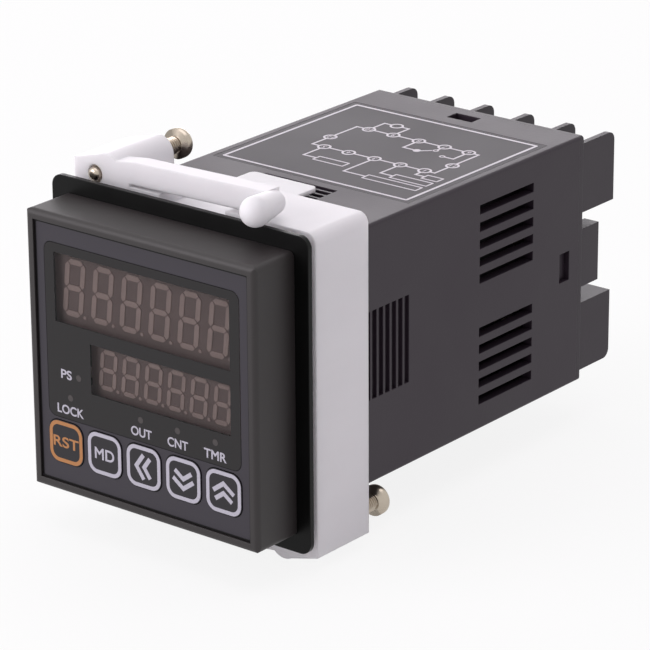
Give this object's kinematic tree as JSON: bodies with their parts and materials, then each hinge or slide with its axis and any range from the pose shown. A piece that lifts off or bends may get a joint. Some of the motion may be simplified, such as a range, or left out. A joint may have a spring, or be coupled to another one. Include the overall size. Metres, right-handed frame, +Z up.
{
  "type": "panel counter",
  "caption": "Square panel-mount counter with two digit displays, push keys, finned screw terminals and a clamp-on ratchet bracket with jack screws.",
  "frame": {"origin": "centre of the panel cut-out, in the plane of the gasket's rear face", "axes": "+X to the right seen from the front, +Y from the front through the panel, +Z up"},
  "size_m": [0.0536, 0.0998, 0.0637],
  "materials": {
    "bezel_plastic": "fine moulded grain",
    "sheet_print": "satin printed film",
    "smoked_window": "smoked polycarbonate",
    "key_print": "satin with a printed ring and sign",
    "switch_plastic": "moulded",
    "board_laminate": "solder mask",
    "display_face": "moulded",
    "display_bar": "unlit diffuser",
    "lamp_lens": "unlit",
    "gasket_rubber": "smooth",
    "case_plastic": "fine moulded grain",
    "label_film": "printed",
    "terminal_plastic": "moulded",
    "plated_steel": "nickel plated",
    "relay_cover": "moulded",
    "winding_tape": "wound tape",
    "capacitor_sleeve": "shrunk sleeve",
    "bracket_nylon": "milky moulded nylon"
  },
  "bodies": {
    "counter": {"front_bezel": "bezel_plastic", "front_sheet": "sheet_print", "display_window": "smoked_window", "tact_switches": "switch_plastic", "display_board": "board_laminate", "upper_display": "display_face", "upper_segments": "display_bar", "lower_display": "display_face", "lower_segments": "display_bar", "indicator_lamps": "lamp_lens", "gasket": "gasket_rubber", "case": "case_plastic", "top_label": "label_film", "terminal_block": "terminal_plastic", "terminal_plates": "plated_steel", "terminal_screws": "plated_steel", "main_board": "board_laminate", "power_board": "board_laminate", "board_headers": "switch_plastic", "logic_chip": "switch_plastic", "relay": "relay_cover", "transformer": "winding_tape", "capacitors": "capacitor_sleeve"},
    "key_reset": {"key_reset": "key_print"},
    "key_mode": {"key_mode": "key_print"},
    "key_shift": {"key_shift": "key_print"},
    "key_down": {"key_down": "key_print"},
    "key_up": {"key_up": "key_print"},
    "bracket": {"mounting_bracket": "bracket_nylon"},
    "upper_screw": {"upper_jack_screw": "plated_steel"},
    "lower_screw": {"lower_jack_screw": "plated_steel"}
  },
  "joints": [
    {"name": "key_reset_press", "type": "slide", "parent": "counter", "child": "key_reset", "axis": [0, 1, 0], "range_m": [0, 0.00035], "stiffness_N_per_m": 1500},
    {"name": "key_mode_press", "type": "slide", "parent": "counter", "child": "key_mode", "axis": [0, 1, 0], "range_m": [0, 0.00035], "stiffness_N_per_m": 1500},
    {"name": "key_shift_press", "type": "slide", "parent": "counter", "child": "key_shift", "axis": [0, 1, 0], "range_m": [0, 0.00035], "stiffness_N_per_m": 1500},
    {"name": "key_down_press", "type": "slide", "parent": "counter", "child": "key_down", "axis": [0, 1, 0], "range_m": [0, 0.00035], "stiffness_N_per_m": 1500},
    {"name": "key_up_press", "type": "slide", "parent": "counter", "child": "key_up", "axis": [0, 1, 0], "range_m": [0, 0.00035], "stiffness_N_per_m": 1500},
    {"name": "bracket_slide", "type": "slide", "parent": "counter", "child": "bracket", "axis": [0, 1, 0], "range_m": [0, 0.06]},
    {"name": "upper_screw_feed", "type": "slide", "parent": "bracket", "child": "upper_screw", "axis": [0, 1, 0], "range_m": [-0.0017, 0.008]},
    {"name": "lower_screw_feed", "type": "slide", "parent": "bracket", "child": "lower_screw", "axis": [0, 1, 0], "range_m": [-0.0017, 0.008]}
  ]
}
